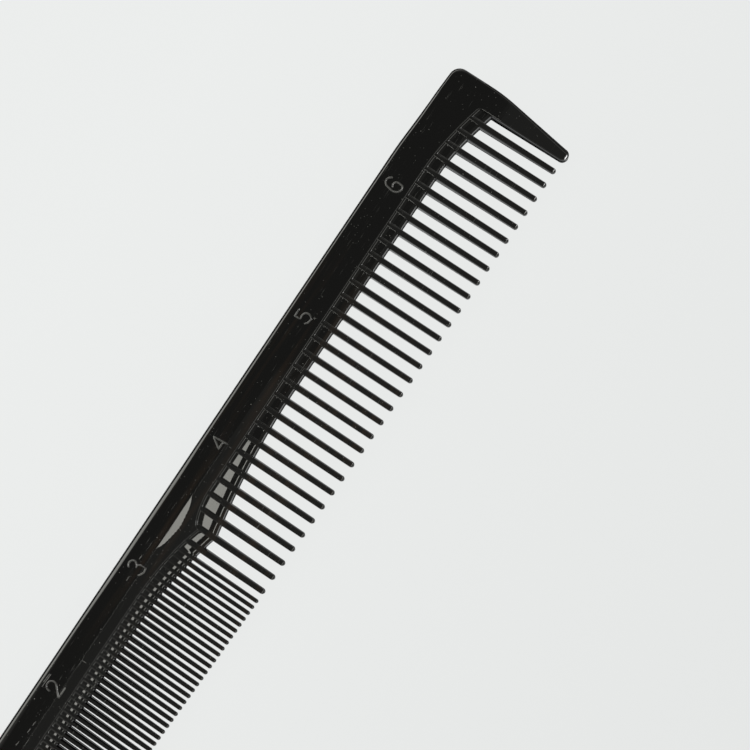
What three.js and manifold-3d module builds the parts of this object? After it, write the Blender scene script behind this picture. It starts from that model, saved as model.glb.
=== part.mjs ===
// A barber's styling comb, moulded in one piece: wide teeth on one half, fine teeth on the other.
// Millimetres. The comb lies flat: +X runs along it to the wide-toothed end, -Y is the way the
// teeth point, +Z is up. The origin is under the middle of its box, on the face it lies on.
import * as THREE from 'three';
import { ConvexGeometry } from 'three/addons/geometries/ConvexGeometry.js';
import { mergeVertices } from 'three/addons/utils/BufferGeometryUtils.js';
import Module from 'manifold-3d';

const wasm = await Module();
wasm.setup();

// Whole comb
const INCH = 25.4;
const LENGTH = 7 * INCH;
const WIDTH = 25.84;             // back edge to the tip of the wide end's guard
const THICKNESS = 3.2;           // over both cheeks of the back
const EDGE_BEVEL = 0.35;         // bevel round the back, its ridges and the guards
const MARGIN = 5;                // how far cutting blocks reach past the comb

// Back edge and the two rounded ends, as distances along from an end and across from the back
const BACK_BEND = { along: 17, drop: 0.8 };
const CORNER_RADIUS = 2;
const END_FACE = 8;              // the end runs square down to here, then leans in
const END_LEAN = 0.155;          // lean of the end face, mm in per mm across
const LEAN_RADIUS = 30;
const GUARD_TIP_RADIUS = 1.1;
const GUARD_INNER = { coarse: 4.5, fine: 4.24 };
const GUARD_ROOT = 8.8;          // where the guards leave the back
const GUARD_TAPER_START = 13;
const GUARD_TIP_THICKNESS = 2.2;
const GUARD_OVERHANG = 0.5;      // how far a guard passes its nearest teeth

// Root web between the ridge and the slots
const WEB_THICKNESS = THICKNESS - 2 * EDGE_BEVEL;
const WEB_LINE = { coarse: 8.87, fine: 8.95 };
const RIDGE_LINE = 6.5;
const V_PEAK = { along: 90.5, height: 2.19 };    // where the ridge dips between the two rakes
const RIB_START = 0.3;           // gap from the ridge to the start of a tooth's rib

// Teeth
const COARSE = {
  count: 31, first: 6.5, pitch: 2.881,
  rootWidth: 1.24, tipWidth: 1.04, rootThickness: 2.9, tipThickness: 1.5,
};
const FINE = {
  count: 65, first: 94.89, pitch: 1.2148,
  rootWidth: 0.83, tipWidth: 0.75, rootThickness: 2.9, tipThickness: 1.3,
};
const TEETH_PER_RAKE = 5;
const CROWN_RATIO = 0.68;        // flat crown of a tooth over its widest, at mid-thickness
const TIP_ROUND = 0.55;
const TIP_RINGS = [0.65, 1];     // rings round the tip, as shares of its rounding
const TIP_END_SCALE = 0.4;

// Raised numerals on the upper cheek, one to each inch
const NUMERAL_ALONG = { 6: 23.6, 5: 50.9, 4: 76.1, 3: 101.6, 2: 125.5, 1: 151.0 };
const NUMERAL_ACROSS = 3.45;
const NUMERAL_HALF = { x: 0.78, y: 1.55 };
const NUMERAL_STROKE = 0.42;
const NUMERAL_HEIGHT = 0.12;

const MID_Z = THICKNESS / 2;
const BLACK = { color: 0x0c0c0d, roughness: 0.3, metalness: 0 };

// Distances along are taken from the wide end and across from the back edge.
const toX = (along) => LENGTH / 2 - along;
const toY = (across) => WIDTH / 2 - across;
const place = ([along, across]) => new THREE.Vector2(toX(along), toY(across));

// ---- lines of the comb -----------------------------------------------------------------

// Tips of the teeth: a long arc that closes on the back towards the fine end.
const tipLine = (along) => 25.38 - 0.0041 * along - 1.366e-4 * along ** 2;

// Bottoms of the slots: deeper at the ends and where the two rakes meet.
function slotLine(along) {
  const share = (start, reach) => Math.max(0, (along - start) / reach);
  const coarseEnd = 1.85 * share(16.5, -11) ** 1.6;
  const fineEnd = 1.3 * share(LENGTH - 16.5, 11) ** 1.6;
  const coarse = WEB_LINE.coarse + coarseEnd + 3.05 * share(62, 28.5) ** 2;
  const fine = WEB_LINE.fine + fineEnd + 2.47 * share(108, -16.7) ** 1.7;
  return Math.min(coarse, fine);
}

// The ridge where the cheek steps down to the web: a steep scoop into the V on the coarse
// side, a long easy slope on the fine side, and a turn down into each guard.
function ridgeLine(along) {
  const share = (start, reach) => Math.max(0, (along - start) / reach);
  const coarseEnd = 2.2 * share(18, -13.9) ** 1.75;
  const fineEnd = 2.2 * share(LENGTH - 18, 13.9) ** 1.75;
  const scoop = Math.min(1, share(84, V_PEAK.along - 84));
  const slope = Math.min(1, share(108.6, V_PEAK.along - 108.6));
  const dip = along < V_PEAK.along
    ? 1 - (1 - scoop ** 1.7) ** (1 / 1.7)
    : slope ** 2.7;
  return RIDGE_LINE + V_PEAK.height * dip + coarseEnd + fineEnd;
}

const toothAlong = (rake, index) => rake.first + index * rake.pitch;
const coarseInner = GUARD_INNER.coarse;
const fineInner = LENGTH - GUARD_INNER.fine;
const rakeCount = FINE.count / TEETH_PER_RAKE;
const rakeEdges = Array.from({ length: rakeCount + 1 }, (_, k) => (
  k === rakeCount ? fineInner : FINE.first + (k * TEETH_PER_RAKE - 0.5) * FINE.pitch));

// Places where the ridge has a corner. The back and the webs share them, so they meet exactly.
const ridgeStations = [
  coarseInner, 7, 10, 13.5, 18, 84, 86, 87.8, 89.2, 90.1, V_PEAK.along, 91.4, 92.8,
  ...rakeEdges, 97, LENGTH - 13.5, LENGTH - 10, LENGTH - 7,
].sort((a, b) => a - b);

// ---- solids ----------------------------------------------------------------------------

function toSolid(geometry) {
  const bare = geometry.index ? geometry.toNonIndexed() : geometry.clone();
  bare.deleteAttribute('normal');
  bare.deleteAttribute('uv');
  const merged = mergeVertices(bare, 1e-5);
  return new wasm.Manifold(new wasm.Mesh({
    numProp: 3,
    vertProperties: merged.attributes.position.array,
    triVerts: merged.index.array,
  }));
}

function toGeometry(solid) {
  const { vertProperties, triVerts } = solid.getMesh();
  const geometry = new THREE.BufferGeometry();
  geometry.setAttribute('position', new THREE.BufferAttribute(vertProperties, 3));
  geometry.setIndex(new THREE.BufferAttribute(triVerts, 1));
  geometry.computeVertexNormals();
  return geometry;
}

// A plate with the given outline, centred on the comb's mid-plane.
function plate(points, thickness) {
  const geometry = new THREE.ExtrudeGeometry(new THREE.Shape(points), {
    depth: thickness, bevelEnabled: false,
  });
  return geometry.translate(0, 0, MID_Z - thickness / 2);
}

// A block between two distances across, used to part the guards from the back.
function bandBlock(low, high) {
  const geometry = new THREE.BoxGeometry(LENGTH + 2 * MARGIN, high - low, THICKNESS + 2 * MARGIN);
  return geometry.translate(0, toY((low + high) / 2), MID_Z);
}

// The end of the comb as points from the back edge round to the guard's inner side.
function endOutline(inner, tipAcross) {
  const drop = BACK_BEND.drop;
  const arc = (x, y, radius, from, to, steps) => {
    const curve = new THREE.EllipseCurve(x, y, radius, radius, from, to, true);
    return curve.getPoints(steps).map((p) => [p.x, p.y]);
  };
  const lean = Math.atan(END_LEAN);
  const leanEnd = END_FACE + LEAN_RADIUS * Math.sin(lean);
  const leanIn = LEAN_RADIUS * (1 - Math.cos(lean));
  const tipCentre = [inner - GUARD_TIP_RADIUS, tipAcross - GUARD_TIP_RADIUS];
  const leanAt = (across) => leanIn + (across - leanEnd) * END_LEAN;
  // The leaning face runs to where the tip's arc takes over.
  const outerAcross = tipCentre[1] - 0.3;
  return [
    [BACK_BEND.along, 0],
    ...arc(CORNER_RADIUS, CORNER_RADIUS + drop, CORNER_RADIUS, 1.5 * Math.PI, Math.PI, 5),
    [0, END_FACE],
    [leanIn, leanEnd],
    [leanAt(outerAcross), outerAcross],
    ...arc(tipCentre[0], tipCentre[1], GUARD_TIP_RADIUS, Math.PI - 0.15, 0, 7),
  ];
}

// The back with both guards: the cheeks, the ridge and the U round the teeth.
function frameSolid() {
  const coarseEnd = endOutline(coarseInner, WIDTH);
  const fineTip = tipLine(LENGTH - GUARD_INNER.fine) + GUARD_OVERHANG;
  const fineEnd = endOutline(GUARD_INNER.fine, fineTip)
    .map(([along, across]) => [LENGTH - along, across]);
  const ridge = ridgeStations.map((along) => [along, ridgeLine(along)]);
  const outline = [...coarseEnd, ...ridge, ...fineEnd.reverse()].map(place);
  const body = new THREE.ExtrudeGeometry(new THREE.Shape(outline), {
    depth: WEB_THICKNESS,
    bevelThickness: EDGE_BEVEL,
    bevelSize: EDGE_BEVEL,
    bevelOffset: -EDGE_BEVEL,
    bevelSegments: 1,
  });
  body.translate(0, 0, EDGE_BEVEL);
  return toSolid(body).intersect(toSolid(sideProfile()));
}

// Side profile across the comb: full thickness, then thinning towards the guards' tips.
function sideProfile() {
  const half = THICKNESS / 2;
  const tip = GUARD_TIP_THICKNESS / 2;
  const profile = [
    [-MARGIN, -half], [GUARD_TAPER_START, -half], [WIDTH, -tip],
    [WIDTH, tip], [GUARD_TAPER_START, half], [-MARGIN, half],
  ].map(([across, z]) => new THREE.Vector2(toY(across), MID_Z + z));
  const geometry = new THREE.ExtrudeGeometry(new THREE.Shape(profile), {
    depth: LENGTH + 2 * MARGIN, bevelEnabled: false,
  });
  // Stand the profile up, so that its length runs along X.
  const turn = new THREE.Matrix4().makeBasis(
    new THREE.Vector3(0, 1, 0), new THREE.Vector3(0, 0, 1), new THREE.Vector3(1, 0, 0));
  return geometry.applyMatrix4(turn).translate(-LENGTH / 2 - MARGIN, 0, 0);
}

// A stretch of a six-sided tooth: flat crowns, flanks drafted both ways, and a rounded tip
// where the stretch runs to the end of the tooth.
function toothGeometry(rake, along, from, to) {
  const root = slotLine(along);
  const tip = tipLine(along);
  const isTip = to === tip;
  const body = to - (isTip ? TIP_ROUND : 0);
  const rings = [{ across: from, scale: 1 }, { across: body, scale: 1 }];
  for (const share of isTip ? TIP_RINGS : []) {
    const scale = TIP_END_SCALE + (1 - TIP_END_SCALE) * Math.sqrt(1 - share ** 2);
    rings.push({ across: body + share * TIP_ROUND, scale });
  }
  const points = rings.flatMap(({ across, scale }) => {
    const share = THREE.MathUtils.clamp((across - root) / (tip - root), 0, 1);
    const halfWidth = scale * THREE.MathUtils.lerp(rake.rootWidth, rake.tipWidth, share) / 2;
    const rise = scale * THREE.MathUtils.lerp(rake.rootThickness, rake.tipThickness, share) / 2;
    const crown = CROWN_RATIO * halfWidth;
    const section = [
      [halfWidth, 0], [crown, rise], [-crown, rise], [-halfWidth, 0], [-crown, -rise], [crown, -rise],
    ];
    return section.map(([side, up]) => new THREE.Vector3(toX(along) + side, toY(across), MID_Z + up));
  });
  return new ConvexGeometry(points);
}

// A stretch of root web, stepped square where each tooth leaves it. Its teeth start as ribs
// on the web and run as far as the line `endLine`.
function webSolid(rake, from, to, teeth, endLine) {
  const ridge = ridgeStations.filter((along) => along >= from && along <= to);
  const upper = ridge.map((along) => [along, ridgeLine(along)]);
  const lower = [[from, slotLine(from)]];
  for (const along of teeth) {
    const across = slotLine(along);
    lower.push([along - rake.rootWidth / 2, across], [along + rake.rootWidth / 2, across]);
  }
  lower.push([to, slotLine(to)]);
  const outline = [...upper, ...lower.reverse()].map(place);
  let solid = toSolid(plate(outline, WEB_THICKNESS));
  for (const along of teeth) {
    const start = Math.max(
      ridgeLine(along - rake.rootWidth / 2), ridgeLine(along), ridgeLine(along + rake.rootWidth / 2));
    solid = solid.add(toSolid(toothGeometry(rake, along, start + RIB_START, endLine(along))));
  }
  return solid;
}

// ---- numerals --------------------------------------------------------------------------

const { x: HX, y: HY } = NUMERAL_HALF;
const BOWL = 0.8 * HX;           // radius of the rounds in the numerals

// Each numeral is a list of pen strokes about its own centre.
const numeralStrokes = {
  1: () => [
    new THREE.Path().moveTo(-0.5 * HX, 0.62 * HY).lineTo(0.1, HY).lineTo(0.1, -HY),
  ],
  2: () => [
    new THREE.Path().absarc(0, HY - BOWL, BOWL, 0.95 * Math.PI, -0.15 * Math.PI, true)
      .lineTo(-HX, -HY).lineTo(HX, -HY),
  ],
  3: () => [
    new THREE.Path().absarc(0, HY - BOWL, BOWL, 0.85 * Math.PI, -0.45 * Math.PI, true)
      .absarc(0, BOWL - HY, BOWL, 0.45 * Math.PI, -0.85 * Math.PI, true),
  ],
  4: () => [
    new THREE.Path().moveTo(0.3 * HX, HY).lineTo(0.3 * HX, -HY),
    new THREE.Path().moveTo(0.3 * HX, HY).lineTo(-HX, -0.35 * HY).lineTo(HX, -0.35 * HY),
  ],
  5: () => [
    new THREE.Path().moveTo(HX, HY).lineTo(-0.7 * HX, HY).lineTo(-0.75 * HX, 0.1 * HY)
      .absarc(0, BOWL - HY, BOWL, 0.6 * Math.PI, -0.85 * Math.PI, true),
  ],
  6: () => [
    new THREE.Path().moveTo(0.75 * HX, 0.8 * HY).quadraticCurveTo(-HX, HY, -BOWL, BOWL - HY),
    new THREE.Path().absarc(0, BOWL - HY, BOWL, 0, 2 * Math.PI, false),
  ],
};

// One pen stroke of even width, mitred at its corners.
function strokeGeometry(path) {
  const points = path.getPoints(6).filter((p, i, all) => i === 0 || p.distanceTo(all[i - 1]) > 0.02);
  const closed = points[0].distanceTo(points.at(-1)) < 0.02;
  if (closed) points.pop();
  const at = (i) => (closed
    ? points[(i + points.length) % points.length]
    : points[THREE.MathUtils.clamp(i, 0, points.length - 1)]);
  const sides = points.map((point, i) => {
    const before = point.clone().sub(at(i - 1)).normalize();
    const after = at(i + 1).clone().sub(point).normalize();
    const run = before.add(after).normalize();
    const bend = Math.abs(run.dot(after.lengthSq() > 0 ? after : run));
    const half = NUMERAL_STROKE / 2 / Math.max(bend, 0.6);
    const normal = new THREE.Vector2(-run.y, run.x).multiplyScalar(half);
    return [point.clone().add(normal), point.clone().sub(normal)];
  });
  const left = sides.map(([a]) => a);
  const right = sides.map(([, b]) => b);
  const shape = new THREE.Shape(closed ? right : [...left, ...right.reverse()]);
  if (closed) shape.holes.push(new THREE.Path(left));
  return new THREE.ExtrudeGeometry(shape, { depth: NUMERAL_HEIGHT, bevelEnabled: false });
}

function numeralSolid(digit) {
  const strokes = numeralStrokes[digit]().map((path) => toSolid(strokeGeometry(path)));
  const solid = strokes.reduce((whole, stroke) => whole.add(stroke));
  return solid.translate(toX(NUMERAL_ALONG[digit]), toY(NUMERAL_ACROSS), THICKNESS);
}

// ---- the comb --------------------------------------------------------------------------

const comb = new THREE.Group();

function addPiece(name, geometry) {
  const mesh = new THREE.Mesh(geometry, new THREE.MeshStandardMaterial(BLACK));
  mesh.name = name;
  comb.add(mesh);
}

const number = (index) => String(index + 1).padStart(2, '0');

function addFrame() {
  const frame = frameSolid();
  const back = toSolid(bandBlock(-MARGIN, GUARD_ROOT));
  const guards = toSolid(bandBlock(GUARD_ROOT, WIDTH + MARGIN));
  addPiece('spine', toGeometry(frame.intersect(back)));
  const [first, second] = frame.intersect(guards).decompose();
  const isCoarse = first.boundingBox().max[0] > 0;
  addPiece('coarse_end_guard', toGeometry(isCoarse ? first : second));
  addPiece('fine_end_guard', toGeometry(isCoarse ? second : first));
}

function addCoarseTeeth() {
  const teeth = Array.from({ length: COARSE.count }, (_, i) => toothAlong(COARSE, i));
  const web = webSolid(COARSE, coarseInner, rakeEdges[0], teeth, slotLine);
  addPiece('coarse_root_web', toGeometry(web));
  teeth.forEach((along, i) => {
    const tooth = toothGeometry(COARSE, along, slotLine(along), tipLine(along));
    addPiece(`coarse_tooth_${number(i)}`, toGeometry(toSolid(tooth)));
  });
}

function addFineTeeth() {
  for (let k = 0; k < rakeCount; k += 1) {
    const teeth = Array.from(
      { length: TEETH_PER_RAKE }, (_, i) => toothAlong(FINE, k * TEETH_PER_RAKE + i));
    const rake = webSolid(FINE, rakeEdges[k], rakeEdges[k + 1], teeth, tipLine);
    addPiece(`fine_rake_${number(k)}`, toGeometry(rake));
  }
}

addFrame();
addCoarseTeeth();
addFineTeeth();
for (const digit of Object.keys(NUMERAL_ALONG)) {
  addPiece(`numeral_${digit}`, toGeometry(numeralSolid(digit)));
}

export default comb;
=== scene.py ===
"""Looks for a black barber's styling comb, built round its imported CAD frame."""
import math

import bmesh
import bpy
from mathutils import Matrix, Vector


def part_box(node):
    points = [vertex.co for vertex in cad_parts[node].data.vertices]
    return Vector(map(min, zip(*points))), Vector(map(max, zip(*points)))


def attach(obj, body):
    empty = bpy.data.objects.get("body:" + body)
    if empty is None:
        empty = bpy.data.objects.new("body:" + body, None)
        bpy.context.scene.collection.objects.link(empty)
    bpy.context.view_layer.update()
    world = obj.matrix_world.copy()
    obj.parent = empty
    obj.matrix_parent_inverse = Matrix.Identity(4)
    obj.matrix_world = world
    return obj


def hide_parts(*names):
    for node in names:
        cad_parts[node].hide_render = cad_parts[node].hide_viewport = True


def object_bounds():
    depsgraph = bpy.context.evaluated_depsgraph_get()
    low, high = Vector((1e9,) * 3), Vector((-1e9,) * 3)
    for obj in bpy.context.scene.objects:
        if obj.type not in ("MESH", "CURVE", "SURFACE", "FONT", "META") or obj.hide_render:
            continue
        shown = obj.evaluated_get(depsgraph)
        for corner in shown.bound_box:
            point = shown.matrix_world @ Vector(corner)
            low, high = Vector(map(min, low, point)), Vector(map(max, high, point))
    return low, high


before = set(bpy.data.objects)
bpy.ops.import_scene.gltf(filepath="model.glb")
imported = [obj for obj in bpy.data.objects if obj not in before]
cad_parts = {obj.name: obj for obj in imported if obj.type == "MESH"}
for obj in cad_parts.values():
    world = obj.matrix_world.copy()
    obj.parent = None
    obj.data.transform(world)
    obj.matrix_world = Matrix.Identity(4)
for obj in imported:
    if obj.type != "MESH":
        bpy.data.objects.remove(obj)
cad_low, cad_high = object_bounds()

# ---- sizes, in millimetres, the same as the CAD's ------------------------------------------
MM = 0.001
LENGTH = (cad_high.x - cad_low.x) / MM
WIDTH = (cad_high.y - cad_low.y) / MM
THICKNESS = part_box("spine")[1].z / MM
MID_Z = THICKNESS / 2

BACK_BEND, BACK_DROP = 17.0, 0.8
CORNER_RADIUS = 2.0
END_FACE, END_LEAN, LEAN_RADIUS = 8.0, 0.155, 30.0
GUARD_TIP_RADIUS = 1.1
GUARD_TAPER_START = 13.0
GUARD_TIP_THICKNESS = 2.2
GUARD_OVERHANG = 0.5
GUARD_INNER_COARSE, GUARD_INNER_FINE = 4.5, 4.24
INNER_CORNER = 0.7

WEB_COARSE, WEB_FINE = 8.87, 8.95
RIDGE_LINE = 6.5
V_ALONG, V_HEIGHT = 90.5, 2.19
TEETH_PER_RAKE = 5


class Rake:
    """The sizes of one set of teeth."""

    def __init__(self, count, first, pitch, root, tip, crown, lean, taper):
        self.count, self.first, self.pitch = count, first, pitch
        self.root, self.tip = root, tip          # half width at the root and the tip
        self.crown = crown                       # the flat crown's share of the width
        self.lean = lean                         # the crown's shift from the parting line's middle
        self.taper = taper                       # fall of each face for each mm towards the tips

    def along(self, index):
        return self.first + index * self.pitch

    def rise(self, across):
        """Half thickness of the teeth and their ribs."""
        return CROWN_RISE - self.taper * (across - RIDGE_LINE)


CROWN_RISE = 1.43                                # half thickness of the ribs at the ridge
COARSE = Rake(31, 6.5, 2.881, 0.62, 0.52, 0.68, 0.07, 0.0389)
FINE = Rake(65, 94.89, 1.2148, 0.405, 0.365, 0.62, 0.0, 0.054)
RAKE_EDGE = FINE.first - FINE.pitch / 2


def spot(along, across, z):
    """A point of the comb: along from the wide end, across from the back edge, up from below."""
    return Vector((cad_high.x - along * MM, cad_high.y - across * MM, z * MM))


def lerp(a, b, share):
    return a + (b - a) * share


def smooth(share):
    share = min(1.0, max(0.0, share))
    return share * share * (3 - 2 * share)


# ---- the comb's lines ----------------------------------------------------------------------
def past(along, start, reach):
    """How far a place lies past a start, in reaches. A negative reach looks the other way."""
    return max(0.0, (along - start) / reach)


def from_end(along):
    return min(along, LENGTH - along)


def between(along, start, end, fade_in, fade_out):
    """1 inside a stretch of the comb and 0 outside it, with soft ends."""
    return smooth((along - start) / fade_in) * smooth((end - along) / fade_out)


class Climb:
    """A rise in one of the comb's lines, which starts somewhere along the comb and steepens."""

    def __init__(self, start, reach, rise, power):
        self.start, self.reach = start, reach
        self.rise, self.power = rise, power

    def at(self, along):
        return self.rise * past(along, self.start, self.reach) ** self.power


TIP_START, TIP_SLOPE, TIP_CURVE = 25.38, 0.0041, 1.366e-4
SLOT_COARSE_END, SLOT_COARSE_V = Climb(16.5, -11, 1.85, 1.6), Climb(62, 28.5, 3.05, 2)
SLOT_FINE_END, SLOT_FINE_V = Climb(LENGTH - 16.5, 11, 1.3, 1.6), Climb(108, -16.7, 2.47, 1.7)
RIDGE_COARSE_END = Climb(18, -13.9, 2.2, 1.75)
RIDGE_FINE_END = Climb(LENGTH - 18, 13.9, 2.2, 1.75)
SCOOP_START, SCOOP_POWER = 84, 1.7     # the ridge's steep turn into the V on the coarse side
SLOPE_START, SLOPE_POWER = 108.6, 2.7  # its long easy slope on the fine side
BACK_TURN = 2.0                        # half the length over which the back edge turns


def tip_line(along):
    return TIP_START - TIP_SLOPE * along - TIP_CURVE * along ** 2


def slot_line(along):
    coarse = WEB_COARSE + SLOT_COARSE_END.at(along) + SLOT_COARSE_V.at(along)
    fine = WEB_FINE + SLOT_FINE_END.at(along) + SLOT_FINE_V.at(along)
    return min(coarse, fine)


def ridge_line(along):
    ends = RIDGE_COARSE_END.at(along) + RIDGE_FINE_END.at(along)
    if along < V_ALONG:
        scoop = min(1.0, past(along, SCOOP_START, V_ALONG - SCOOP_START))
        dip = 1 - (1 - scoop ** SCOOP_POWER) ** (1 / SCOOP_POWER)
    else:
        dip = min(1.0, past(along, SLOPE_START, V_ALONG - SLOPE_START)) ** SLOPE_POWER
    return RIDGE_LINE + V_HEIGHT * dip + ends


def back_line(along):
    slope = BACK_DROP / (BACK_BEND - CORNER_RADIUS)
    run = BACK_BEND - from_end(along)
    if run <= -BACK_TURN:
        return 0.0
    if run >= BACK_TURN:
        return slope * run
    return slope * (run + BACK_TURN) ** 2 / (4 * BACK_TURN)


# ---- mesh building -------------------------------------------------------------------------
def finish_mesh(name, vertices, faces, sharp_angle=40):
    mesh = bpy.data.meshes.new(name)
    mesh.from_pydata(vertices, [], faces)
    mesh.validate()
    obj = bpy.data.objects.new(name, mesh)
    bpy.context.scene.collection.objects.link(obj)
    work = bmesh.new()
    work.from_mesh(mesh)
    bmesh.ops.remove_doubles(work, verts=work.verts, dist=1e-6)
    bmesh.ops.dissolve_degenerate(work, edges=work.edges, dist=1e-7)
    bmesh.ops.recalc_face_normals(work, faces=work.faces)
    work.to_mesh(mesh)
    work.free()
    mesh.polygons.foreach_set("use_smooth", [True] * len(mesh.polygons))
    mesh.set_sharp_from_angle(angle=math.radians(sharp_angle))
    return obj


def add_loft(vertices, faces, loops):
    """Joins closed loops of the same length into a capped tube."""
    start, size = len(vertices), len(loops[0])
    for loop in loops:
        vertices.extend(loop)
    for k in range(len(loops) - 1):
        a, b = start + k * size, start + (k + 1) * size
        for i in range(size):
            j = (i + 1) % size
            faces.append((a + i, a + j, b + j, b + i))
    faces.append(tuple(range(start + size - 1, start - 1, -1)))
    last = start + (len(loops) - 1) * size
    faces.append(tuple(range(last, last + size)))


def own(obj, material, *nodes):
    """Gives a piece its finish, its body and the CAD nodes that it stands for."""
    obj.data.materials.append(material)
    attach(obj, "root")
    if nodes:
        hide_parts(*nodes)


# ---- the back with its two guards ----------------------------------------------------------
# Each face falls a little from its crest towards the back edge, and over the middle of the comb
# also towards the ridge. Beside the V the crest widens into a narrow level facet.
CREST = 4.55
BACK_FALL, V_FALL = 0.024, 0.055
V_FALL_STRETCH = (50, 168, 20, 15)     # start, end and the two fades, as between() takes them
LEVEL_END, LEVEL_FADE = 6, 8           # the faces stay level this near the comb's ends
FACET_MIDDLE, FACET_REACH, FACET_WIDTH, FACET_POWER = 91.6, 5.2, 1.2, 0.8
FACET_WAVES = ((0.07, 9.1, 0), (0.05, 23.7, 1))   # height, turn for each mm, and phase
EDGE_GAP, KEEN_GAP = 0.05, 0.004       # half the distance across a change of plane
RIDGE_ROW = 0.12                       # last row of the face before the ridge's bevel
SOFT_EDGE, SOFT_REACH = 0.17, 1.5      # extra fall near the back edge of the fine half
SOFT_START, SOFT_FADE = 98, 12
EDGE_INSET, EDGE_LEAN, GUARD_LEAN = 0.08, 0.32, 0.14   # how the outer wall leans inwards
LEAN_START, LEAN_FADE = 4, 9           # where the guard's lean turns into the back edge's
CHAMFER, CHAMFER_SLOPE = 0.28, 0.70
GUARD_CHAMFER_GROWTH = 0.3
ROLL_SLOPE, ROLL_END_SLOPE = 0.40, 0.21
ROLL_LEAST, ROLL_GROWTH, ROLL_MIDDLE = 0.2, 0.12, 0.22
ROLL_START, ROLL_FADE = 40, 30
ROLL_STRETCH = (75, 118, 12, 16)
GUARD_ROLL, GUARD_ROWS = 0.12, 8
RIDGE_BEVEL = 0.13
LEDGE, LEDGE_RISE = 0.03, 0.05         # the parting line's ledge on inner walls
DRAFT = 0.03                           # how far a wall leans out from its top to the ledge
DRAFT_START = 0.1                      # where below its top the wall starts to lean
SHARP_FLANK = 50                       # degrees between two faces from which their edge is sharp

# The most that each detail takes of a narrow section's width.
CHAMFER_SHARE, ROLL_SHARE, BEVEL_SHARE = 0.25, 0.1, 0.15
LEDGE_SHARE, LEAN_SHARE, DRAFT_SHARE = 0.05, 0.06, 0.04
NEAR = 0.1                             # share of a flat strip that lies beside each of its edges


def facet_width(along):
    share = 1 - ((along - FACET_MIDDLE) / FACET_REACH) ** 2
    if share <= 0:
        return 0.0
    ragged = sum(height * math.sin(turn * along + phase) for height, turn, phase in FACET_WAVES)
    return FACET_WIDTH * share ** FACET_POWER + ragged * share


def cheek_rise(along, across):
    """Height of the cheek's face above the middle plane, never above the level face."""
    rise = BACK_FALL * (across - RIDGE_LINE)
    if across > CREST:
        beyond = max(0.0, across - CREST - facet_width(along))
        fallen = BACK_FALL * (CREST - RIDGE_LINE) - V_FALL * beyond
        rise = lerp(rise, fallen, between(along, *V_FALL_STRETCH))
    near_edge = max(0.0, 1 - across / SOFT_REACH) ** 2
    soft = SOFT_EDGE * smooth((along - SOFT_START) / SOFT_FADE) * near_edge
    inland = smooth((from_end(along) - LEVEL_END) / LEVEL_FADE)
    return MID_Z + min(0.0, rise - soft) * inland


def roll_width(along):
    """Reach of the rounding between the chamfer and the face: widest beside the V."""
    growth = ROLL_GROWTH * smooth((along - ROLL_START) / ROLL_FADE)
    return ROLL_LEAST + growth + ROLL_MIDDLE * between(along, *ROLL_STRETCH)


def cheek_rows(start, end, outer_across, along):
    """Where the rows of points lie on the back's face, closest at its changes of plane."""
    crest = CREST - outer_across
    facet = facet_width(along)
    gap = EDGE_GAP if facet > 4 * EDGE_GAP else KEEN_GAP
    facet_end = crest + max(facet, 4 * gap)
    rows = [lerp(start, crest, 0.5), crest - 3 * gap, crest - gap, crest + gap,
            facet_end - gap, facet_end + gap, facet_end + 3 * gap]
    return rows + [end - RIDGE_ROW, end]


def strip_loop(outer, inner, rise, is_guard):
    """A closed section of the back from its outer edge to its inner edge."""
    span = math.dist(outer, inner)
    growth = past(outer[1], GUARD_TAPER_START, WIDTH - GUARD_TAPER_START) if is_guard else 0
    chamfer = min(CHAMFER + GUARD_CHAMFER_GROWTH * growth, CHAMFER_SHARE * span)
    roll = min(GUARD_ROLL if is_guard else roll_width(outer[0]), ROLL_SHARE * span)
    bevel, ledge = min(RIDGE_BEVEL, BEVEL_SHARE * span), min(LEDGE, LEDGE_SHARE * span)
    draft = min(DRAFT, DRAFT_SHARE * span)
    inland = smooth((from_end(outer[0]) - LEAN_START) / LEAN_FADE)
    lean = min(lerp(GUARD_LEAN, EDGE_LEAN, inland), LEAN_SHARE * span)
    inset = min(EDGE_INSET, 0.2 * lean)
    brow_at, inner_wall = lean + chamfer, span - ledge
    start, end = brow_at + roll, inner_wall - bevel - draft
    if is_guard:
        rows = [lerp(start, end - NEAR * bevel, k / GUARD_ROWS) for k in range(1, GUARD_ROWS + 1)]
        rows.append(end)
    else:
        rows = cheek_rows(start, end, outer[1], outer[0])

    def height(reach):
        if is_guard:
            return rise
        return cheek_rise(outer[0], outer[1] + reach)

    edge = height(start)
    steep = 0.5 * roll
    shoulder = edge - ROLL_END_SLOPE * (roll - steep)
    brow = shoulder - ROLL_SLOPE * steep
    wall = brow - CHAMFER_SLOPE * chamfer
    near = CHAMFER_SLOPE * NEAR * chamfer
    side = [(inset, 0.0), (lerp(inset, lean, 0.3), 0.5 * wall), (lean, wall),
            (lean + NEAR * chamfer, wall + near), (lean + (1 - NEAR) * chamfer, brow - near),
            (brow_at, brow), (brow_at + 0.3 * steep, brow + 0.3 * ROLL_SLOPE * steep),
            (brow_at + steep, shoulder), (start, edge)]
    side += [(reach, height(reach)) for reach in rows]
    lip, lip_end = height(end), inner_wall - draft
    side += [(lip_end - 0.4 * bevel, lip - 0.25 * bevel), (lip_end, lip - bevel),
             (inner_wall - (1 - NEAR) * draft, lip - bevel - DRAFT_START),
             (inner_wall, LEDGE_RISE), (span, 0.3 * LEDGE_RISE)]
    loop = []
    for sign in (1, -1):
        for reach, z in (side if sign == 1 else side[:0:-1]):
            share = reach / span
            along, across = lerp(outer[0], inner[0], share), lerp(outer[1], inner[1], share)
            loop.append(spot(along, across, MID_Z + sign * z))
    return loop


def guard_rise(across):
    share = past(across, GUARD_TAPER_START, WIDTH - GUARD_TAPER_START)
    return lerp(MID_Z, GUARD_TIP_THICKNESS / 2, min(1, share))


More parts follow.
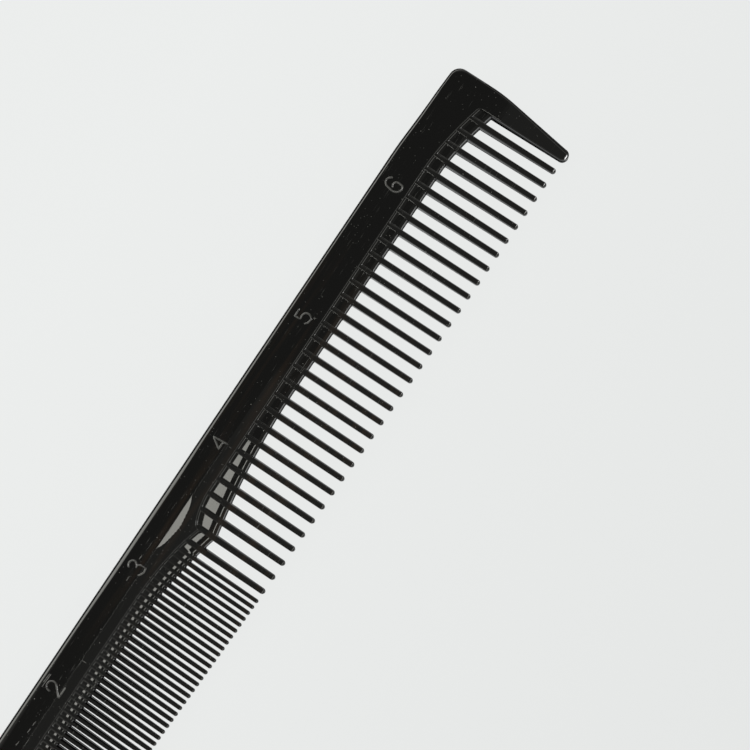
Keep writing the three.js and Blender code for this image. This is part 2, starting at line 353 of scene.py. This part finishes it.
TIP_STEPS, SIDE_STEPS, LEAN_STEPS, CORNER_STEPS = 9, 16, 4, 6
TIP_FIRST = 0.35                       # share of a step from the guard's tip to its first section
TIP_EDGE, TIP_FULLNESS = 0.5, 0.7      # share of the thickness at the tip, and how soon it grows
CORNER_SHARES = (0.34, 0.67, 1.0)      # sections from the corner's arc to the guard's inner side


def end_pairs(inner, tip_across):
    """Outer and inner points from a guard's tip up to where the back begins."""
    lean = math.atan(END_LEAN)
    lean_end = END_FACE + LEAN_RADIUS * math.sin(lean)
    lean_in = LEAN_RADIUS * (1 - math.cos(lean))

    def outer_at(across):
        if across >= lean_end:
            return lean_in + (across - lean_end) * END_LEAN
        if across > END_FACE:
            return LEAN_RADIUS - math.sqrt(LEAN_RADIUS ** 2 - (across - END_FACE) ** 2)
        return 0.0

    radius = GUARD_TIP_RADIUS
    centre = (inner - radius, tip_across - radius)
    pairs = []
    for k in range(TIP_STEPS + 1):
        angle = math.pi / 2 * (k + TIP_FIRST) / (TIP_STEPS + TIP_FIRST)
        across = centre[1] + radius * math.cos(angle)
        in_side = (centre[0] + radius * math.sin(angle), across)
        reach = centre[0] - outer_at(centre[1])
        out_side = (centre[0] - reach * math.sin(angle), across)
        scale = TIP_EDGE + (1 - TIP_EDGE) * math.sin(angle) ** TIP_FULLNESS
        pairs.append((out_side, in_side, guard_rise(across) * scale, True))
    top = ridge_line(inner + INNER_CORNER) + INNER_CORNER
    for k in range(1, SIDE_STEPS + 1):
        across = lerp(centre[1], top, k / SIDE_STEPS)
        pairs.append(((outer_at(across), across), (inner, across), guard_rise(across), True))
    leaning = [lerp(top, CORNER_RADIUS + BACK_DROP, k / LEAN_STEPS)
               for k in range(1, LEAN_STEPS + 1)]
    outer = [(outer_at(across), across) for across in leaning]
    for k in range(1, CORNER_STEPS + 1):
        angle = math.pi / 2 * k / CORNER_STEPS
        outer.append((CORNER_RADIUS * (1 - math.cos(angle)),
                      BACK_DROP + CORNER_RADIUS * (1 - math.sin(angle))))
    last = inner + INNER_CORNER
    for share in CORNER_SHARES:
        along = lerp(CORNER_RADIUS, last, share)
        outer.append((along, back_line(along)))
    count = len(outer)
    for k, point in enumerate(outer, 1):
        angle = math.pi / 2 * k / count
        corner = (inner + INNER_CORNER * (1 - math.cos(angle)),
                  top - INNER_CORNER * math.sin(angle))
        pairs.append((point, corner, MID_Z, True))
    return pairs


V_CLOSE, V_NEAR = 8, 12                # distances from the V within which the steps are short
CLOSE_STEP, NEAR_STEP, FAR_STEP = 0.25, 0.6, 1.4
END_ROOM = 0.5                         # least distance from the last section to the fine guard


def back_stations():
    """Distances along the back: close together where the ridge turns."""
    first, last = GUARD_INNER_COARSE + INNER_CORNER, LENGTH - GUARD_INNER_FINE - INNER_CORNER
    along, stations = first, []
    while along < last - 2 * END_ROOM:
        near_v = abs(along - V_ALONG)
        along += CLOSE_STEP if near_v < V_CLOSE else NEAR_STEP if near_v < V_NEAR else FAR_STEP
        if along < last - END_ROOM:
            stations.append(along)
    return stations


def make_back(material):
    coarse = end_pairs(GUARD_INNER_COARSE, WIDTH)
    fine_tip = tip_line(LENGTH - GUARD_INNER_FINE) + GUARD_OVERHANG
    fine = [((LENGTH - o[0], o[1]), (LENGTH - i[0], i[1]), rise, guard)
            for o, i, rise, guard in end_pairs(GUARD_INNER_FINE, fine_tip)]
    spine = [((a, back_line(a)), (a, ridge_line(a)), MID_Z, False) for a in back_stations()]
    pairs = coarse + spine + fine[::-1]
    vertices, faces = [], []
    add_loft(vertices, faces, [strip_loop(*pair) for pair in pairs])
    back = finish_mesh("comb_back", vertices, faces, SHARP_FLANK)
    own(back, material, "spine", "coarse_end_guard", "fine_end_guard")
    return back


# ---- the root web --------------------------------------------------------------------------
WEB_RISE, V_DIP = 1.15, 0.08           # half thickness between the ribs, and its loss by the V
DIP_STRETCH = (72, 108, 12, 10)
COARSE_LEVEL = (0.7, 1.58)             # a pocket's level stretch: from the ridge, and to the slot
FINE_LEVEL = (1.38, 0.93)              # the same in the fine half, both to the slot
LEAST_LEVEL = 0.15
LATE_SHIFT, LATE_START, LATE_FADE = 0.35, 86.5, 1.5   # it starts later just before the V
V_SHIFT, V_SHIFT_START = -0.2, 90                     # and sooner at the V
POCKET_SLOPE = 0.05                    # rise on both sides of a pocket's level stretch
RIDGE_FILLET, RIB_FILLET = 0.2, 0.13
FINE_FILLET_GROWTH, FINE_FILLET_START, FINE_FILLET_FADE = 0.1, 98, 20
RIB_CLIMB = 0.3                        # how far a fillet climbs its rib, as a share of its reach
LIP = 0.04                             # bevel of the web's lower edge
SLOT_CORNER, SLOT_CORNER_RISE = 0.1, 0.6   # rounding where a slot's bottom meets a tooth
WEB_TONGUE = ((-1.0, 0.5), (-0.8, WEB_RISE - 0.25))   # the web's edge inside the back
RIDGE_ROWS = (-0.05, 0.06, 0.13, 0.22)
WEB_OVERLAP, WEB_FIRST_STEP = 0.6, 0.4     # how far the web reaches into the guards
LEAST_STEP = 0.03
COARSE_COLUMNS = (0, 0.3, 0.38, 0.43, 0.47, 0.52, 0.56, 0.6, 0.65, 0.69, 0.74, 0.9, 1.15)
FINE_COLUMNS = (0, 0.15, 0.2, 0.24, 0.27, 0.3, 0.34, 0.38, 0.42, 0.46, 0.5, 0.55)
COARSE_FOOT, FINE_FOOT = 0.4, 0.21     # half width of a rib where it meets the web


def tooth_near(along):
    """The rake and the distance to the nearest tooth's middle."""
    rake = COARSE if along < RAKE_EDGE else FINE
    index = min(rake.count - 1, max(0, round((along - rake.first) / rake.pitch)))
    return rake, abs(along - rake.along(index))


def slot_bottom(along):
    rake, offset = tooth_near(along)
    gap = max(0.0, offset - rake.root)
    rounding = SLOT_CORNER_RISE * SLOT_CORNER * max(0.0, 1 - gap / SLOT_CORNER) ** 2
    return slot_line(along) + rounding


def pocket_level(along, ridge, bottom):
    """Where the level stretch of a pocket starts and ends."""
    if along < RAKE_EDGE:
        end = bottom - COARSE_LEVEL[1]
        late = LATE_SHIFT * smooth((along - LATE_START) / LATE_FADE)
        shift = lerp(late, V_SHIFT, smooth(along - V_SHIFT_START))
        return min(ridge + COARSE_LEVEL[0] + shift, end - LEAST_LEVEL), end
    return bottom - FINE_LEVEL[0], bottom - FINE_LEVEL[1]


def web_loop(along):
    """A closed section across the web, from inside the back to the slot's bottom."""
    ridge, bottom = ridge_line(along), slot_bottom(along)
    start, end = pocket_level(along, ridge, slot_line(along))
    rake, offset = tooth_near(along)
    foot, fillet = COARSE_FOOT, RIB_FILLET
    if rake is FINE:
        foot = FINE_FOOT
        fillet += FINE_FILLET_GROWTH * smooth((along - FINE_FILLET_START) / FINE_FILLET_FADE)
    climb = RIB_CLIMB * fillet * max(0.0, 1 - max(0.0, offset - foot) / fillet) ** 2
    level = WEB_RISE + climb - V_DIP * between(along, *DIP_STRETCH)

    def pocket(across):
        rise = level + POCKET_SLOPE * (max(0.0, across - end) + max(0.0, start - across))
        return rise + RIDGE_FILLET * max(0.0, 1 - max(0.0, across - ridge) / RIDGE_FILLET) ** 2

    wall = bottom - LEDGE - DRAFT
    edge = wall - LIP
    rows = [ridge + offset for offset in RIDGE_ROWS]
    rows += [start - EDGE_GAP, start + EDGE_GAP, end - EDGE_GAP, end + EDGE_GAP,
             lerp(end, edge, 0.5), edge]
    side = [(ridge + offset, rise) for offset, rise in WEB_TONGUE]
    side += [(across, pocket(across)) for across in rows]
    top = pocket(edge)
    side += [(wall - 0.3 * LIP, top - 0.3 * LIP), (wall, top - LIP),
             (wall + NEAR * DRAFT, top - 3 * LIP), (bottom - LEDGE, LEDGE_RISE),
             (bottom, 0.3 * LEDGE_RISE)]
    loop = [spot(along, across, MID_Z + rise) for across, rise in side]
    loop += [spot(along, across, MID_Z - rise) for across, rise in reversed(side)]
    return loop


def make_web(material):
    stations = [GUARD_INNER_COARSE - WEB_OVERLAP, GUARD_INNER_COARSE,
                GUARD_INNER_COARSE + WEB_FIRST_STEP]
    for rake, columns in ((COARSE, COARSE_COLUMNS), (FINE, FINE_COLUMNS)):
        for index in range(rake.count):
            middle = rake.along(index)
            stations += [middle + side * offset for offset in columns for side in (1, -1)]
    stations += [LENGTH - GUARD_INNER_FINE, LENGTH - GUARD_INNER_FINE + WEB_OVERLAP]
    low, high = stations[0], stations[-1]
    stations = sorted(set(round(a, 4) for a in stations if low <= a <= high))
    spaced = [stations[0]]
    for along in stations[1:]:
        if along - spaced[-1] > LEAST_STEP:
            spaced.append(along)
    vertices, faces = [], []
    add_loft(vertices, faces, [web_loop(along) for along in spaced])
    web = finish_mesh("root_web", vertices, faces, SHARP_FLANK)
    own(web, material, "coarse_root_web")
    return web


# ---- teeth, each with its rib --------------------------------------------------------------
TIP_ROUNDING = 1.05                    # reach of the tip's rounding, in half widths
TIP_SHARES = (0.0, 0.25, 0.45, 0.62, 0.76, 0.87, 0.95, 1.0)
TIP_LEAST, TIP_THINNING = 0.02, 0.85   # squared width at the tip, and how thickness follows it
FLANK_HEIGHTS = (0.985, 0.95, 0.88, 0.75, 0.5, 0.25)   # shares of the half thickness
FLANK_POWER = 1.45                     # how full the flanks are: 1 is straight, 2 is an ellipse
CROWN_EDGE = 0.01                      # how far inside the crown's edge its last row lies
CROWN_MIDDLE, CROWN_FALL = 0.6, (0.001, 0.003)   # the crown falls a little towards its edges
RIB_NARROWING = 0.68                   # a rib's width at the ridge, as a share of the tooth's
RIB_OVERLAP, RIB_FIRST = 0.4, 0.1      # the rib's start inside the back, and its next section
RIB_STEPS, TOOTH_STEPS = 3, 6


def tooth_side(crown, half, rise, scale):
    """A quarter of a tooth's section, from its crown's middle to its parting line."""
    side = [(0, rise), (CROWN_MIDDLE * crown, rise - CROWN_FALL[0]),
            (crown - CROWN_EDGE * scale, rise - CROWN_FALL[1])]
    for share in FLANK_HEIGHTS:
        out = (half - crown) * (1 - share ** FLANK_POWER) ** (1 / FLANK_POWER)
        side.append((crown + out, rise * share))
    return side


def tooth_loops(rake, index):
    """Sections of a tooth and its rib, from inside the back to the tip."""
    along = rake.along(index)
    ridge, root, tip = ridge_line(along), slot_line(along), tip_line(along)
    rounding = rake.tip * TIP_ROUNDING
    body, rib = tip - rounding, ridge + RIB_FIRST
    rows = [(ridge - RIB_OVERLAP, 1.0), (rib, 1.0)]
    rows += [(lerp(rib, root, k / RIB_STEPS), 1.0) for k in range(1, RIB_STEPS + 1)]
    rows += [(lerp(root, body, k / TOOTH_STEPS), 1.0) for k in range(1, TOOTH_STEPS)]
    rows += [(body + rounding * share, math.sqrt(max(TIP_LEAST, 1 - share ** 2)))
             for share in TIP_SHARES]
    loops = []
    for across, scale in rows:
        share = min(1.0, max(0.0, (across - root) / (tip - root)))
        half = lerp(rake.root, rake.tip, share) * scale
        if across < root:
            half *= lerp(RIB_NARROWING, 1, (across - ridge) / (root - ridge))
        rise = rake.rise(across) * scale ** TIP_THINNING
        side = tooth_side(rake.crown * half, half, rise, scale)
        right = side + [(half, 0)] + [(x, -z) for x, z in side[::-1]]
        ring = right + [(-x, z) for x, z in right[-2:0:-1]]
        lean = rake.lean * scale / rise
        loops.append([spot(along + x + lean * abs(z), across, MID_Z + z) for x, z in ring])
    return loops


def make_teeth(material):
    for index in range(COARSE.count):
        vertices, faces = [], []
        add_loft(vertices, faces, tooth_loops(COARSE, index))
        tooth = finish_mesh(f"wide_tooth_{index + 1:02d}", vertices, faces, SHARP_FLANK)
        own(tooth, material, f"coarse_tooth_{index + 1:02d}")
    for group in range(FINE.count // TEETH_PER_RAKE):
        vertices, faces = [], []
        for k in range(TEETH_PER_RAKE):
            add_loft(vertices, faces, tooth_loops(FINE, group * TEETH_PER_RAKE + k))
        teeth = finish_mesh(f"fine_teeth_{group + 1:02d}", vertices, faces, SHARP_FLANK)
        own(teeth, material, f"fine_rake_{group + 1:02d}")


# ---- numerals ------------------------------------------------------------------------------
STROKE, MARK_STROKE = 0.21, 0.09       # half widths
NUMERAL_SCALE = 0.92
STROKE_RISE, NICK_RISE = 0.17, 0.05
MARK_RISE = 0.4 * STROKE_RISE
STROKE_END = 0.6                       # size of a stroke's end, as a share of its middle
SHARP_STROKE = 70                      # degrees between two faces from which their edge is sharp
STROKE_PROFILE = ((-1, -0.5), (-0.92, 0.1), (-0.78, 0.52), (-0.45, 0.84), (-0.1, 1.0), (0.1, 1.0),
                  (0.45, 0.84), (0.78, 0.52), (0.92, 0.1), (1, -0.5), (0, -1.0))


def arc(x, y, radius, start, end, steps=12, squash=1.0):
    points = []
    for k in range(steps + 1):
        angle = math.radians(lerp(start, end, k / steps))
        points.append((x + radius * math.cos(angle), y + squash * radius * math.sin(angle)))
    return points


def line(*points, step=0.25):
    out = [points[0]]
    for a, b in zip(points, points[1:]):
        count = max(1, round(math.dist(a, b) / step))
        out += [(lerp(a[0], b[0], k / count), lerp(a[1], b[1], k / count))
                for k in range(1, count + 1)]
    return out


# Strokes as they stand on the cheek, from the middle of each numeral, in millimetres.
NUMERALS = {
    1: [line((-0.4, 0.95), (0.1, 1.55), (0.1, -1.55))],
    2: [arc(-0.12, 0.75, 0.92, 205, -25, 14) + line((0.5, 0.05), (-1.1, -1.45))
        + line((-1.1, -1.55), (1.15, -1.55))],
    3: [arc(0.1, 0.85, 0.82, 160, -50, 12, 0.9) + line((0.3, -0.02), (-0.1, -0.02)),
        line((0.5, 0.0), (0.9, -0.5), (0.95, -1.6), (0.1, -1.75), (-0.75, -1.35), (-0.95, -1.0))],
    4: [line((0.25, 1.5), (-1.1, -0.55), (0.4, -0.5)), line((0.25, 1.6), (0.45, -0.5), (0.5, -1.6))],
    5: [line((1.1, 1.55), (-0.55, 1.55), (-0.5, 0.4)),
        line((-0.5, 0.35), (0.2, 0.5)) + arc(0.2, -0.45, 0.95, 85, -60, 10)
        + line((0.5, -1.35), (-0.3, -1.2), (-0.85, -0.75))],
    6: [arc(0.25, 0.55, 1.0, 15, 160, 10, 1.1) + arc(0.2, -0.4, 1.12, 165, 280, 10, 1.2)
        + line((0.6, -1.7), (0.85, -1.5), (0.95, -0.6)) + arc(0.25, -0.55, 0.7, 10, 150, 8)],
}
MARKS = {
    2: [line((-1.2, 2.15), (1.6, 2.05)), line((-0.4, 2.4), (1.5, 2.3))],
    3: [line((-2.9, 0.1), (-1.9, 0.1)), line((1.6, 0.35), (2.5, 0.35))],
    4: [line((0.2, 2.3), (0.2, 2.05)), line((0.3, -1.95), (0.3, -2.5))],
    5: [line((0.9, -1.55), (1.3, -2.2)), line((1.3, -1.6), (0.8, -1.95))],
}


def stroke_loops(points, centre, half, height):
    """Sections of a rounded raised stroke with a level top."""
    face = MID_Z + cheek_rise((cad_high.x - centre.x) / MM, (cad_high.y - centre.y) / MM)
    loops = []
    for k, point in enumerate(points):
        before, after = points[max(0, k - 1)], points[min(len(points) - 1, k + 1)]
        run = Vector((after[0] - before[0], after[1] - before[1])).normalized()
        end = STROKE_END if k in (0, len(points) - 1) else 1.0
        ring = []
        for side, rise in STROKE_PROFILE:
            offset = Vector((-run.y, run.x)) * side * half * end
            x = centre.x + (point[0] * NUMERAL_SCALE + offset.x) * MM
            y = centre.y + (point[1] * NUMERAL_SCALE + offset.y) * MM
            ring.append(Vector((x, y, (face + height * rise * (end if rise > 0 else 1)) * MM)))
        loops.append(ring)
    return loops


# Nicks in the face, each from one place to another: along, across.
NICKS = (((132.0, 3.90), (132.9, 3.84)), ((133.45, 3.82), (134.35, 3.76)),
         ((136.3, 3.42), (137.2, 3.34)), ((119.37, 4.6), (119.28, 5.5)))


def make_nicks(material):
    vertices, faces = [], []
    for first, last in NICKS:
        run = spot(*last, 0) - spot(*first, 0)
        points = line((0, 0), (run.x / MM / NUMERAL_SCALE, run.y / MM / NUMERAL_SCALE))
        add_loft(vertices, faces, stroke_loops(points, spot(*first, 0), MARK_STROKE, NICK_RISE))
    own(finish_mesh("face_nicks", vertices, faces, SHARP_STROKE), material)


def make_numerals(material):
    for digit, strokes in NUMERALS.items():
        low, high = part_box(f"numeral_{digit}")
        centre = (low + high) / 2
        vertices, faces = [], []
        for points in strokes:
            add_loft(vertices, faces, stroke_loops(points, centre, STROKE, STROKE_RISE))
        for points in MARKS.get(digit, []):
            add_loft(vertices, faces, stroke_loops(points, centre, MARK_STROKE, MARK_RISE))
        numeral = finish_mesh(f"number_{digit}", vertices, faces, SHARP_STROKE)
        own(numeral, material, f"numeral_{digit}")


# ---- materials -----------------------------------------------------------------------------
class Nodes:
    """Short calls for the few node kinds that the materials are made of."""

    def __init__(self, tree):
        self.nodes, self.links = tree.nodes, tree.links
        self.place = self.nodes.new("ShaderNodeTexCoord").outputs["Object"]

    def feed(self, socket, value):
        """Links another node's output to a socket, or sets the socket to a number."""
        if isinstance(value, bpy.types.NodeSocket):
            self.links.new(value, socket)
        else:
            socket.default_value = value

    def make(self, kind, inputs, output):
        node = self.nodes.new(kind)
        for name, value in inputs.items():
            self.feed(node.inputs[name], value)
        return node.outputs[output]

    def parts(self, vector):
        """The X, Y and Z of a vector."""
        node = self.nodes.new("ShaderNodeSeparateXYZ")
        self.links.new(vector, node.inputs["Vector"])
        return node.outputs

    def noise(self, scale, detail, turn=0.0):
        """Noise with its own scale along, across and up, for each metre."""
        vector = self.make("ShaderNodeMapping", {"Vector": self.place, "Scale": scale,
                                                 "Rotation": (0, 0, turn)}, "Vector")
        return self.make("ShaderNodeTexNoise", {"Vector": vector, "Scale": 1.0,
                                                "Detail": detail}, "Fac")

    def ramp(self, value, low, high, to_low=0.0, to_high=1.0):
        return self.make("ShaderNodeMapRange", {"Value": value, "From Min": low, "From Max": high,
                                                "To Min": to_low, "To Max": to_high}, "Result")

    def math(self, operation, first, second):
        node = self.nodes.new("ShaderNodeMath")
        node.operation = operation
        self.feed(node.inputs[0], first)
        self.feed(node.inputs[1], second)
        return node.outputs[0]

    def mix(self, share, first, second):
        node = self.nodes.new("ShaderNodeMix")
        node.data_type = "RGBA"
        for name, value in (("Factor", share), ("A", first), ("B", second)):
            self.feed(node.inputs[name], value)
        return next(output for output in node.outputs if output.type == "RGBA")

    def specks(self, scale, size, rarity):
        """Round specks in some of the cells of a grid with that many cells for each metre."""
        cells = self.nodes.new("ShaderNodeTexVoronoi")
        cells.inputs["Scale"].default_value = scale
        self.links.new(self.place, cells.inputs["Vector"])
        tint = self.make("ShaderNodeSeparateColor", {"Color": cells.outputs["Color"]}, "Red")
        near = self.ramp(cells.outputs["Distance"], 0.5 * size, size, 1.0, 0.0)
        return self.math("MULTIPLY", near, self.ramp(tint, rarity, rarity + SPECK_FADE))


BLACK = (0.0031, 0.0031, 0.0031, 1)
# The brown below is painted reflection: the tint of soft reflection bands on the faces.
REFLECTION_BROWN = (0.0092, 0.0064, 0.0047, 1)
DUST = (0.06, 0.06, 0.056, 1)
SCUFF = (0.034, 0.034, 0.033, 1)
STROKE_SHEEN = (0.032, 0.032, 0.031, 1)      # the numerals and nicks: a lighter grey, painted sheen that stands in for the light their rounded strokes catch
PLASTIC_IOR = 1.5

# Scales of the noises for each metre, then the noise values between which each sets in.
# The first noise lays out the brownish streaks, which are painted reflection.
REFLECTION_STREAK_SCALE, REFLECTION_STREAK_RANGE = (30, 700, 200), (0.5, 0.75)
HAIR_SCALE, HAIR_TURN, HAIR_RANGE = (260, 5200, 900), 0.06, (0.66, 0.74)
PATCH_SCALE, PATCH_RANGE = (120, 380, 300), (0.46, 0.6)
SHEEN_AND_WEAR_SCALE, SHEEN_AND_WEAR_RANGE = (900, 900, 900), (0.3, 0.55)
HAZE_SCALE, HAZE_RANGE = (90, 260, 200), (0.4, 0.7)
RIPPLE_SCALE, RIPPLE_HEIGHT = (150, 1500, 700), 4e-6

HAZE_ROUGHNESS = (0.03, 0.055)
SCUFF_ROUGHNESS, DUST_ROUGHNESS, WEAR_ROUGHNESS = 0.14, 0.5, 0.12
STREAKS_IN, STREAKS_OUT = (0.055, 0.035), (-0.03, -0.01)   # where along the comb the streaks fade
DUST_SPECKS, SCUFF_SPECKS = (950, 0.095, 0.78), (1700, 0.17, 0.62)   # cells, size and rarity
SPECK_FADE = 0.02

# Specular levels by the way a face looks. The floor gives its own light and takes no shadow, so
# lower levels on the sides stand in for the shadow between the teeth and under the comb.
SIDE_GLOSS, WALL_GLOSS, FACE_GLOSS = 0.07, 0.28, 0.45
WALL_TURN = (-0.5, -0.9)               # from sides to the walls that look towards the tips
REAR_TURN = (0.5, 0.3)                 # none on sides that look towards the back edge
PARTING_TURN = (-0.03, 0.03)           # none below the parting line
FACE_TURN = (0.4, 0.65)                # from sides to faces


def new_material(name):
    material = bpy.data.materials.new(name)
    material.use_nodes = True
    return material, material.node_tree.nodes["Principled BSDF"], Nodes(material.node_tree)


def plastic_gloss(build):
    """Specular level by the way a face looks: full on the faces, little on the sides."""
    facing = build.parts(build.nodes.new("ShaderNodeNewGeometry").outputs["Normal"])
    wall = build.ramp(facing["Y"], *WALL_TURN, SIDE_GLOSS, WALL_GLOSS)
    wall = build.math("MULTIPLY", wall, build.ramp(facing["Y"], *REAR_TURN))
    wall = build.math("MULTIPLY", wall, build.ramp(facing["Z"], *PARTING_TURN))
    return build.math("ADD", wall, build.ramp(facing["Z"], *FACE_TURN, 0.0, FACE_GLOSS))


def black_plastic(name, sheen_and_wear=False):
    """Glossy black plastic with brownish streaks of painted reflection, hairline scuffs and dust."""
    material, shader, build = new_material(name)
    shader.inputs["IOR"].default_value = PLASTIC_IOR

    along = build.parts(build.place)["X"]
    middle = build.math("MULTIPLY", build.ramp(along, *STREAKS_IN), build.ramp(along, *STREAKS_OUT))
    # Brownish streaks over the middle of the comb: painted reflection, standing in for soft
    # reflection bands on the faces.
    streaks = build.math("MULTIPLY", build.ramp(build.noise(REFLECTION_STREAK_SCALE, 3), *REFLECTION_STREAK_RANGE), middle)
    colour = build.mix(streaks, BLACK, REFLECTION_BROWN)

    hairs = build.ramp(build.noise(HAIR_SCALE, 2, HAIR_TURN), *HAIR_RANGE)
    patches = build.ramp(build.noise(PATCH_SCALE, 1), *PATCH_RANGE)
    scuffs = build.math("MULTIPLY", hairs, patches)
    colour = build.mix(scuffs, colour, SCUFF)

    dust = build.specks(*DUST_SPECKS)
    colour = build.mix(dust, colour, DUST)
    colour = build.mix(build.specks(*SCUFF_SPECKS), colour, SCUFF)

    haze = build.ramp(build.noise(HAZE_SCALE, 2), *HAZE_RANGE, *HAZE_ROUGHNESS)
    rough = build.math("ADD", haze, build.math("MULTIPLY", scuffs, SCUFF_ROUGHNESS))
    rough = build.math("ADD", rough, build.math("MULTIPLY", dust, DUST_ROUGHNESS))
    # On the numerals and nicks, patches are painted a lighter grey as painted sheen, standing in for
    # the light their rounded strokes catch; the same patches are also rougher.
    if sheen_and_wear:
        sheen_and_wear_patches = build.ramp(build.noise(SHEEN_AND_WEAR_SCALE, 2), *SHEEN_AND_WEAR_RANGE)
        colour = build.mix(sheen_and_wear_patches, colour, STROKE_SHEEN)
        rough = build.math("ADD", rough, build.math("MULTIPLY", sheen_and_wear_patches, WEAR_ROUGHNESS))
    build.links.new(colour, shader.inputs["Base Color"])
    build.links.new(rough, shader.inputs["Roughness"])
    build.links.new(plastic_gloss(build), shader.inputs["Specular IOR Level"])

    ripple = {"Height": build.noise(RIPPLE_SCALE, 2), "Strength": 1.0, "Distance": RIPPLE_HEIGHT}
    build.links.new(build.make("ShaderNodeBump", ripple, "Normal"), shader.inputs["Normal"])
    return material


FLOOR_BASE, FLOOR_TINT = (0.01, 0.01, 0.01, 1), (0.982, 1.0, 0.992, 1)
FLOOR_GLOW = (-0.11, 0.05, 0.775, 0.835)   # metres in front and behind, and the strength at each


def floor_material():
    """A pale table that gives its own light, painted a shade brighter behind the comb than in front
    of it.
    """
    material, shader, build = new_material("pale_floor")
    shader.inputs["Base Color"].default_value = FLOOR_BASE
    shader.inputs["Roughness"].default_value = 1.0
    shader.inputs["Specular IOR Level"].default_value = 0.0
    shader.inputs["Emission Color"].default_value = FLOOR_TINT
    glow = build.ramp(build.parts(build.place)["Y"], *FLOOR_GLOW)
    build.links.new(glow, shader.inputs["Emission Strength"])
    return material


# ---- the scene -----------------------------------------------------------------------------
FLOOR_REACH, FLOOR_DROP = 3.0, 0.0003


def make_floor():
    corners = [(side * FLOOR_REACH, front * FLOOR_REACH, 0)
               for side, front in ((-1, -1), (1, -1), (1, 1), (-1, 1))]
    mesh = bpy.data.meshes.new("floor")
    mesh.from_pydata(corners, [], [(0, 1, 2, 3)])
    floor = bpy.data.objects.new("floor", mesh)
    bpy.context.scene.collection.objects.link(floor)
    floor.location.z = -FLOOR_DROP
    mesh.materials.append(floor_material())


# Ramps over a direction's height and over how far it looks to the back, with strengths.
BAND_START, BAND_END = (0.3, 0.42), (0.9, 0.82)
BACK_GLOW, FRONT_GLOW = (0.2, 0.75, 0.6, 4.8), (-0.3, -0.8, 0, 1.4)
CEILING_GLOW = (0.1, 0.15, 0.18, 0.08)
SKY_TINT = (1.0, 1.0, 0.93, 1)


def make_world():
    """A dark ceiling and horizon with a pale band between them, brightest behind the comb."""
    world = bpy.data.worlds.new("studio")
    bpy.context.scene.world = world
    world.use_nodes = True
    build = Nodes(world.node_tree)
    direction = build.parts(build.nodes.new("ShaderNodeTexCoord").outputs["Generated"])
    back, up = direction["Y"], direction["Z"]
    band = build.math("MULTIPLY", build.ramp(up, *BAND_START), build.ramp(up, *BAND_END))
    glow = build.math("ADD", build.ramp(back, *BACK_GLOW), build.ramp(back, *FRONT_GLOW))
    band = build.math("MULTIPLY", band, glow)
    strength = build.math("ADD", band, build.ramp(back, *CEILING_GLOW))
    build.links.new(strength, build.nodes["Background"].inputs["Strength"])
    build.nodes["Background"].inputs["Color"].default_value = SKY_TINT


KEY_HEIGHT = 0.6
KEY_ALONG, KEY_ACROSS = (75, 150), (0.6, 16.4)
KEY_RADIANCE, KEY_TINT = 5.6, (1.0, 1.0, 0.92)


def lamp_spot(along, across):
    """Where a lamp has to hang for the camera to see it in a level face at this place."""
    place, camera = spot(along, across, THICKNESS), Vector(CAMERA_AT) * MM
    reach = (KEY_HEIGHT - place.z) / (camera.z - place.z)
    return Vector((place.x + (place.x - camera.x) * reach,
                   place.y + (place.y - camera.y) * reach, KEY_HEIGHT))


def make_key():
    """A long softbox that shows in the web's pockets and in the level facet beside the V."""
    low, high = lamp_spot(KEY_ALONG[1], KEY_ACROSS[1]), lamp_spot(KEY_ALONG[0], KEY_ACROSS[0])
    data = bpy.data.lights.new("key", "AREA")
    data.shape = "RECTANGLE"
    data.size, data.size_y = high.x - low.x, high.y - low.y
    data.energy = KEY_RADIANCE * math.pi * data.size * data.size_y
    data.color = KEY_TINT
    key = bpy.data.objects.new("key", data)
    key.location = (low + high) / 2
    bpy.context.scene.collection.objects.link(key)


FILL_TOWARDS = Vector((0.40, -0.62, 0.68))
FILL_DISTANCE, FILL_SIZE, FILL_RADIANCE = 0.6, 0.13, 25


def make_fill():
    """A small lamp beyond the tips, which lights their ends and the small corners."""
    data = bpy.data.lights.new("fill", "AREA")
    data.size = FILL_SIZE
    data.energy = FILL_RADIANCE * math.pi * FILL_SIZE ** 2
    fill = bpy.data.objects.new("fill", data)
    fill.location = FILL_TOWARDS.normalized() * FILL_DISTANCE
    fill.rotation_mode = "QUATERNION"
    fill.rotation_quaternion = FILL_TOWARDS.to_track_quat("Z", "Y")
    bpy.context.scene.collection.objects.link(fill)


# The camera looks almost straight down, from a little beyond the teeth's tips.
CAMERA_AT = (24.17, -40.45, 278.62)
CAMERA_RIGHT = (0.55433, -0.82862, -0.07814)
CAMERA_UP = (0.83109, 0.54603, 0.10558)
LENS, SENSOR = 79.2, 36
CLIP_START = 0.01


def make_camera():
    data = bpy.data.cameras.new("camera")
    data.lens = LENS
    data.sensor_width = SENSOR
    data.clip_start = CLIP_START
    camera = bpy.data.objects.new("camera", data)
    bpy.context.scene.collection.objects.link(camera)
    right = Vector(CAMERA_RIGHT).normalized()
    up = Vector(CAMERA_UP)
    up = (up - right * up.dot(right)).normalized()
    turn = Matrix((right, up, right.cross(up))).transposed()
    camera.matrix_world = Matrix.Translation(Vector(CAMERA_AT) * MM) @ turn.to_4x4()
    bpy.context.scene.camera = camera


bpy.context.scene.view_settings.view_transform = "Standard"
make_camera()
make_floor()
make_world()
make_key()
make_fill()
plastic = black_plastic("black_plastic")
sheen_and_wear_plastic = black_plastic("black_plastic_with_sheen_and_wear", sheen_and_wear=True)
make_back(plastic)
make_web(plastic)
make_teeth(plastic)
make_numerals(sheen_and_wear_plastic)
make_nicks(sheen_and_wear_plastic)
